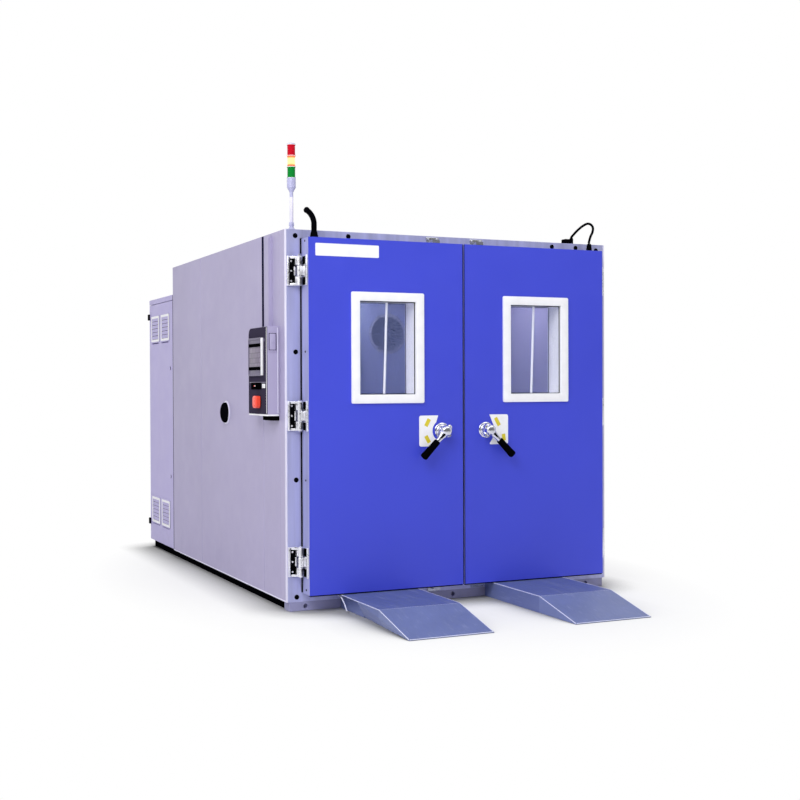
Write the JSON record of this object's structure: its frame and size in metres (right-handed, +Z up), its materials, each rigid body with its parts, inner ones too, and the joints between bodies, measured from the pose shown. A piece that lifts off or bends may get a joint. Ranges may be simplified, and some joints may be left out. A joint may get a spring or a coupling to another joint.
{
  "type": "walk-in environmental test chamber",
  "caption": "Free-standing walk-in climate chamber with paired windowed doors, lever locks, loading ramps, signal tower, side control box and a louvred machine unit behind.",
  "frame": {"origin": "on the floor, at the centre of the door frame's front plane", "axes": "+X to the right seen from the doors, +Y from the doors back to the machine unit, +Z up"},
  "size_m": [2.399, 4.562, 2.826],
  "materials": {
    "frame_black": "satin black enamel on steel channel",
    "frame_paint": "powder-coated steel, light bluish grey",
    "panel_paint": "fine orange-peel powder coat, lavender grey",
    "stainless": "brushed stainless sheet",
    "chrome": "polished chrome plate",
    "white_plastic": "white moulded plastic",
    "black_rubber": "matt extruded rubber",
    "black_plastic": "black moulded plastic",
    "coil_metal": "aluminium fins on copper pipe",
    "fan_metal": "pressed sheet steel",
    "motor_paint": "dark enamel on castings",
    "panel_dark": "dark grey powder coat",
    "screen_bezel": "light grey bezel round a grey screen",
    "stop_red": "orange-red moulded plastic",
    "lens": "red, amber and green ribbed lenses",
    "door_blue": "saturated blue powder coat",
    "glass": "clear toughened double glazing",
    "ramp_paint": "bluish grey enamel on folded sheet"
  },
  "bodies": {
    "chamber": {"base_frame": "frame_black", "front_beam": "frame_paint", "floor_panel": "stainless", "left_wall": "panel_paint", "right_wall": "panel_paint", "roof_panel": "panel_paint", "rear_bulkhead": "stainless", "front_frame": "frame_paint", "door_strikes": "chrome", "cable_port": "white_plastic", "air_duct_wall": "stainless", "finned_coils": "coil_metal", "heater_coil": "stainless", "fan_motors": "motor_paint", "control_box": "panel_paint", "control_panel": "panel_dark", "touch_screen": "screen_bezel", "tower_mast": "chrome", "tower_lenses": "lens", "roof_cable_block": "black_rubber", "door_cable": "black_rubber", "machine_housing": "panel_paint", "compressors": "motor_paint", "electrical_cabinet": "white_plastic", "humidifier_boiler": "stainless", "hinge_frame_leaves": "chrome", "hinge_pins": "chrome"},
    "left_fan": {"left_fan": "fan_metal"},
    "right_fan": {"right_fan": "fan_metal"},
    "condenser_fan": {"condenser_fan": "fan_metal"},
    "left_service_door": {"left_service_door": "panel_paint"},
    "right_service_door": {"right_service_door": "panel_paint"},
    "cable_port_plug": {"cable_port_plug": "black_rubber"},
    "power_switch": {"power_switch": "black_plastic"},
    "stop_button": {"stop_button": "stop_red"},
    "left_ramp": {"left_ramp": "ramp_paint"},
    "right_ramp": {"right_ramp": "ramp_paint"},
    "left_door": {"left_door_skin": "door_blue", "left_door_leaf": "frame_paint", "left_door_liner": "stainless", "left_door_gasket": "black_rubber", "left_window_frame": "white_plastic", "left_window_glass": "glass", "left_door_fittings": "chrome", "left_door_conduit": "black_rubber"},
    "left_handle": {"left_lever": "chrome", "left_grip": "black_plastic"},
    "left_upper_bolt": {"left_top_bolt": "chrome"},
    "left_lower_bolt": {"left_bottom_bolt": "chrome"},
    "right_door": {"right_door_skin": "door_blue", "right_door_leaf": "frame_paint", "right_door_liner": "stainless", "right_door_gasket": "black_rubber", "right_window_frame": "white_plastic", "right_window_glass": "glass", "right_door_fittings": "chrome"},
    "right_handle": {"right_lever": "chrome", "right_grip": "black_plastic"},
    "right_upper_bolt": {"right_top_bolt": "chrome"},
    "right_lower_bolt": {"right_bottom_bolt": "chrome"}
  },
  "joints": [
    {"name": "left_door_swing", "type": "hinge", "parent": "chamber", "child": "left_door", "pos_m": [-1.061, -0.04, 1.15], "axis": [0, 0, -1], "range_deg": [0, 110]},
    {"name": "left_handle_turn", "type": "hinge", "parent": "left_door", "child": "left_handle", "pos_m": [-0.155, -0.129, 1.076], "axis": [0, 1, 0], "range_deg": [0, 90]},
    {"name": "left_upper_bolt_slide", "type": "slide", "parent": "left_door", "child": "left_upper_bolt", "axis": [0, 0, 1], "range_m": [0, 0.025]},
    {"name": "left_lower_bolt_slide", "type": "slide", "parent": "left_door", "child": "left_lower_bolt", "axis": [0, 0, -1], "range_m": [0, 0.025]},
    {"name": "left_fan_spin", "type": "hinge", "parent": "chamber", "child": "left_fan", "pos_m": [-0.52, 2.4, 1.78], "axis": [0, 1, 0], "continuous": true},
    {"name": "left_service_door_swing", "type": "hinge", "parent": "chamber", "child": "left_service_door", "pos_m": [-1.126, 3.471, 1], "axis": [0, 0, -1], "range_deg": [0, 110]},
    {"name": "left_ramp_pull", "type": "slide", "parent": "chamber", "child": "left_ramp", "axis": [0, -1, 0], "range_m": [0, 0.4]},
    {"name": "right_door_swing", "type": "hinge", "parent": "chamber", "child": "right_door", "pos_m": [1.061, -0.04, 1.15], "axis": [0, 0, 1], "range_deg": [0, 110]},
    {"name": "right_handle_turn", "type": "hinge", "parent": "right_door", "child": "right_handle", "pos_m": [0.155, -0.129, 1.076], "axis": [0, -1, 0], "range_deg": [0, 90]},
    {"name": "right_upper_bolt_slide", "type": "slide", "parent": "right_door", "child": "right_upper_bolt", "axis": [0, 0, 1], "range_m": [0, 0.025]},
    {"name": "right_lower_bolt_slide", "type": "slide", "parent": "right_door", "child": "right_lower_bolt", "axis": [0, 0, -1], "range_m": [0, 0.025]},
    {"name": "right_fan_spin", "type": "hinge", "parent": "chamber", "child": "right_fan", "pos_m": [0.52, 2.4, 1.78], "axis": [0, 1, 0], "continuous": true},
    {"name": "right_service_door_swing", "type": "hinge", "parent": "chamber", "child": "right_service_door", "pos_m": [1.126, 3.471, 1], "axis": [0, 0, 1], "range_deg": [0, 110]},
    {"name": "right_ramp_pull", "type": "slide", "parent": "chamber", "child": "right_ramp", "axis": [0, -1, 0], "range_m": [0, 0.4]},
    {"name": "condenser_fan_spin", "type": "hinge", "parent": "chamber", "child": "condenser_fan", "pos_m": [0.48, 3.3, 1.48], "axis": [0, 1, 0], "continuous": true},
    {"name": "cable_port_plug_pull", "type": "slide", "parent": "chamber", "child": "cable_port_plug", "axis": [-1, 0, 0], "range_m": [0, 0.15]},
    {"name": "power_switch_turn", "type": "hinge", "parent": "chamber", "child": "power_switch", "pos_m": [-1.224, 0.255, 1.359], "axis": [-1, 0, 0], "range_deg": [0, 90]},
    {"name": "stop_button_press", "type": "slide", "parent": "chamber", "child": "stop_button", "axis": [1, 0, 0], "range_m": [0, 0.006], "stiffness_N_per_m": 600}
  ],
  "couplings": [
    {"joint": "left_upper_bolt_slide", "follows": "left_handle_turn", "m_per_rad": 0.0159},
    {"joint": "left_lower_bolt_slide", "follows": "left_handle_turn", "m_per_rad": 0.0159},
    {"joint": "right_upper_bolt_slide", "follows": "right_handle_turn", "m_per_rad": 0.0159},
    {"joint": "right_lower_bolt_slide", "follows": "right_handle_turn", "m_per_rad": 0.0159}
  ]
}
